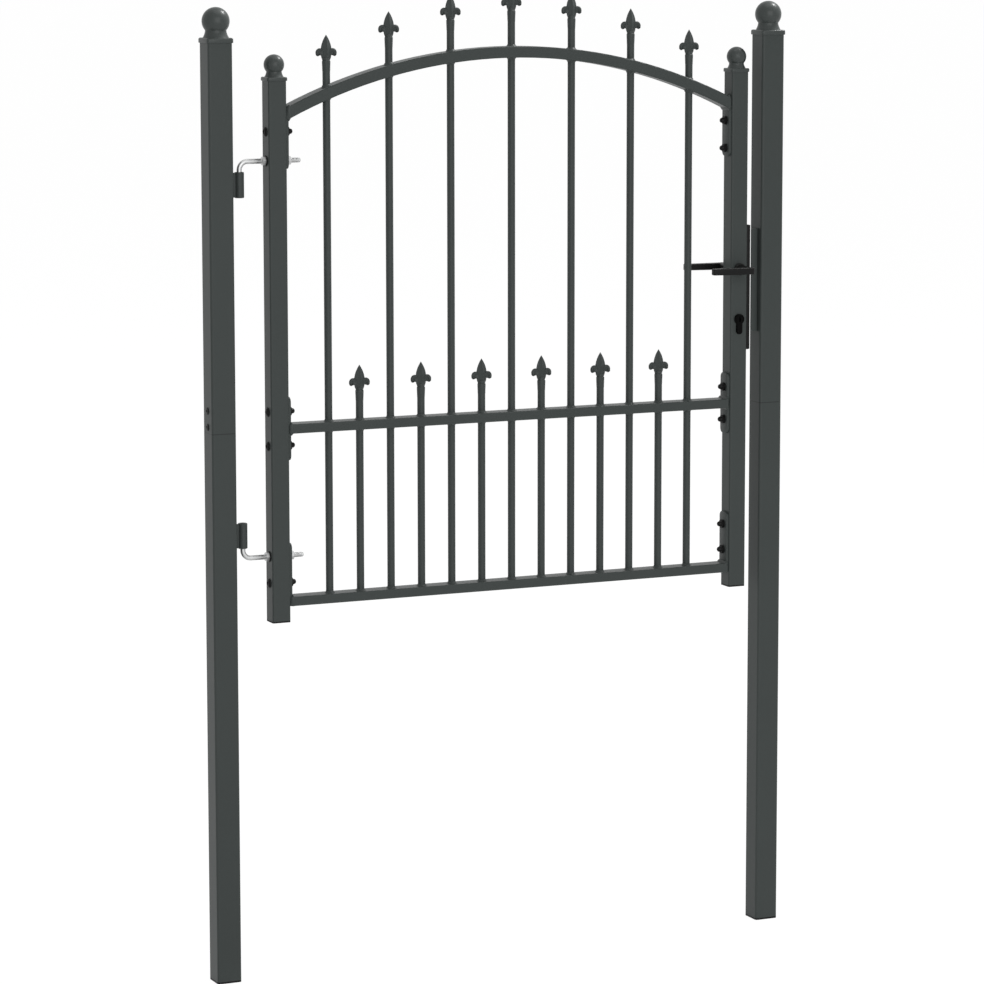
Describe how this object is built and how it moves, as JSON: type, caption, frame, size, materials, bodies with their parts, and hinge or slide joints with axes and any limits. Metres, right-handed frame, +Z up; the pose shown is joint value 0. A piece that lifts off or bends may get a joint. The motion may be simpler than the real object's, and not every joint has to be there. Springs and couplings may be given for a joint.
{
  "type": "spiked garden gate",
  "caption": "Arched metal garden gate leaf with round bars and spear finials, hung on bent hinge bolts between two square posts, with lever handles, lock and strike plate.",
  "frame": {"origin": "centre of the hinge post's foot, on the ground", "axes": "+X along the closed gate from the hinge post to the latch post, +Y towards the back of the gate, +Z up"},
  "size_m": [1.0035, 0.112, 1.562],
  "materials": {
    "grey_powder_coat": "satin powder coat, dark grey",
    "black_hardware": "black coated steel",
    "zinc_plated_steel": "bright zinc plating",
    "black_plastic": "moulded black plastic"
  },
  "bodies": {
    "posts": {"hinge_post_lower": "grey_powder_coat", "hinge_post_upper": "grey_powder_coat", "latch_post_lower": "grey_powder_coat", "latch_post_upper": "grey_powder_coat", "post_sleeves": "grey_powder_coat", "post_joint_bolts": "black_hardware", "hinge_post_cap": "grey_powder_coat", "latch_post_cap": "grey_powder_coat", "post_foot_plugs": "black_plastic", "upper_hinge_barrel": "grey_powder_coat", "lower_hinge_barrel": "grey_powder_coat", "strike_plate": "grey_powder_coat"},
    "leaf": {"hinge_stile": "grey_powder_coat", "latch_stile": "grey_powder_coat", "hinge_stile_cap": "grey_powder_coat", "latch_stile_cap": "grey_powder_coat", "stile_foot_plugs": "black_plastic", "bottom_rail": "grey_powder_coat", "middle_rail": "grey_powder_coat", "arched_rail": "grey_powder_coat", "rail_end_plates": "grey_powder_coat", "tall_bar_1": "grey_powder_coat", "tall_bar_2": "grey_powder_coat", "tall_bar_3": "grey_powder_coat", "tall_bar_4": "grey_powder_coat", "tall_bar_5": "grey_powder_coat", "tall_bar_6": "grey_powder_coat", "tall_bar_7": "grey_powder_coat", "short_bar_1": "grey_powder_coat", "short_bar_2": "grey_powder_coat", "short_bar_3": "grey_powder_coat", "short_bar_4": "grey_powder_coat", "short_bar_5": "grey_powder_coat", "short_bar_6": "grey_powder_coat", "tall_spikes": "grey_powder_coat", "short_spikes": "grey_powder_coat", "frame_bolts": "black_hardware", "frame_nuts": "black_hardware", "upper_hinge_bolt": "zinc_plated_steel", "lower_hinge_bolt": "zinc_plated_steel", "hinge_nuts": "zinc_plated_steel", "lock_case": "black_hardware", "lock_bolts": "zinc_plated_steel", "lock_cylinder": "black_hardware"},
    "handle": {"front_lever": "black_hardware", "back_lever": "black_hardware", "spindle": "zinc_plated_steel"}
  },
  "joints": [
    {"name": "leaf_hinge", "type": "hinge", "parent": "posts", "child": "leaf", "pos_m": [0.036, 0, 1], "axis": [0, 0, 1], "range_deg": [-100, 100]},
    {"name": "lever_hinge", "type": "hinge", "parent": "leaf", "child": "handle", "pos_m": [0.902, 0, 1.097], "axis": [0, -1, 0], "range_deg": [0, 40], "stiffness_Nm_per_rad": 1.2, "springref_deg": -20.05}
  ]
}
